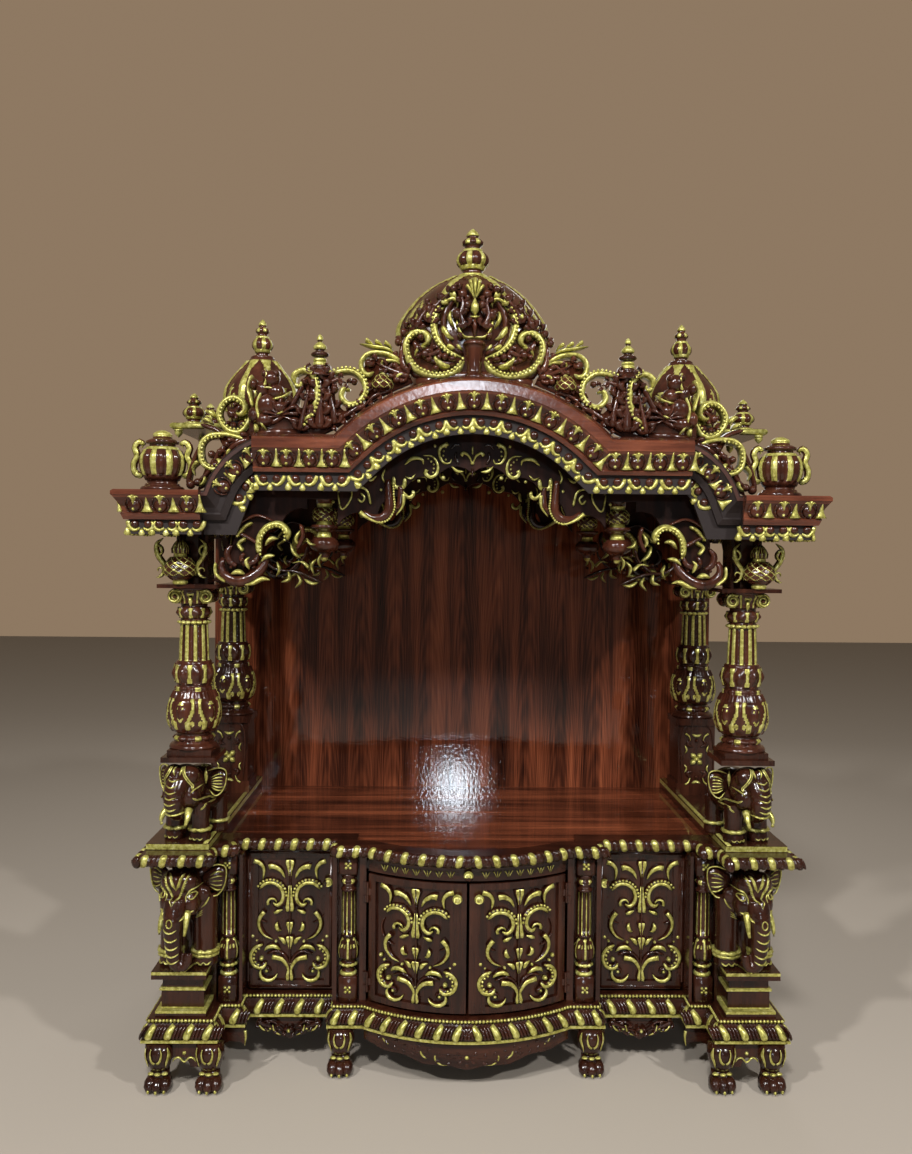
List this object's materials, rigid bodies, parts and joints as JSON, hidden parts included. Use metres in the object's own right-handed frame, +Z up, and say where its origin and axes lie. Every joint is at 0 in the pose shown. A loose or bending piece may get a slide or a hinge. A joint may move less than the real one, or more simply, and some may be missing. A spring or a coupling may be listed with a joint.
{
  "type": "wooden home temple",
  "caption": "Carved wooden home temple: bow-fronted cabinet with doors and a drawer on paw feet, elephant-borne pillars, arched cornice, crests, domes and urns.",
  "frame": {"origin": "on the floor under the middle of the whole object", "axes": "+Z up, the doors face -Y, +X to the right as seen from the front"},
  "size_m": [1.22, 0.676, 1.557],
  "materials": {
    "moulded_wood": "glossy mahogany lacquer",
    "carved_wood": "glossy mahogany lacquer with painted gold highlights",
    "panel_wood": "glossy lacquered rosewood-grained board",
    "gold_paint": "greenish gold paint under lacquer",
    "brass": "polished"
  },
  "bodies": {
    "cabinet": {"base_moulding": "moulded_wood", "cabinet_floor": "panel_wood", "paw_feet": "carved_wood", "corner_brackets": "moulded_wood", "aprons": "moulded_wood", "front_piers": "moulded_wood", "corner_piers": "moulded_wood", "side_wall_left": "moulded_wood", "side_wall_right": "moulded_wood", "cabinet_back": "panel_wood", "colonettes": "carved_wood", "corner_plinths": "moulded_wood", "elephants_lower": "carved_wood", "hinges": "brass", "drawer_rails": "moulded_wood", "rope_slab": "moulded_wood", "platform": "panel_wood", "side_ledges": "moulded_wood", "elephants_upper": "carved_wood", "pillar_plates": "moulded_wood", "front_pillars": "carved_wood", "rear_pedestals": "moulded_wood", "rear_pillars": "carved_wood", "canopy_posts": "moulded_wood", "pineapples": "carved_wood", "cornice_centre": "moulded_wood", "cornice_arcs": "moulded_wood", "cornice_corners": "moulded_wood", "cornice_sides": "moulded_wood", "spandrels": "moulded_wood", "eave_beams": "moulded_wood", "roof_vault": "moulded_wood", "roof_wings": "moulded_wood", "back_panel": "panel_wood", "torana_front": "carved_wood", "torana_rear": "carved_wood", "torana_sides": "carved_wood", "pendants": "carved_wood", "central_dome": "carved_wood", "side_domes": "carved_wood", "urns": "carved_wood", "crest_centre": "carved_wood", "crest_sides": "carved_wood", "finials": "carved_wood"},
    "side_door_left": {"side_door_left": "moulded_wood"},
    "side_door_right": {"side_door_right": "moulded_wood"},
    "bow_door_left": {"bow_door_left": "moulded_wood"},
    "bow_door_right": {"bow_door_right": "moulded_wood"},
    "drawer": {"drawer": "moulded_wood"}
  },
  "joints": [
    {"name": "side_door_left_hinge", "type": "hinge", "parent": "cabinet", "child": "side_door_left", "pos_m": [-0.4105, -0.1505, 0.2675], "axis": [0, 0, -1], "range_deg": [0, 90]},
    {"name": "side_door_right_hinge", "type": "hinge", "parent": "cabinet", "child": "side_door_right", "pos_m": [0.4105, -0.1505, 0.2675], "axis": [0, 0, 1], "range_deg": [0, 90]},
    {"name": "bow_door_left_hinge", "type": "hinge", "parent": "cabinet", "child": "bow_door_left", "pos_m": [-0.1835, -0.1975, 0.2535], "axis": [0, 0, -1], "range_deg": [0, 90]},
    {"name": "bow_door_right_hinge", "type": "hinge", "parent": "cabinet", "child": "bow_door_right", "pos_m": [0.1835, -0.1975, 0.2535], "axis": [0, 0, 1], "range_deg": [0, 90]},
    {"name": "drawer_slide", "type": "slide", "parent": "cabinet", "child": "drawer", "axis": [0, -1, 0], "range_m": [0, 0.24]}
  ]
}
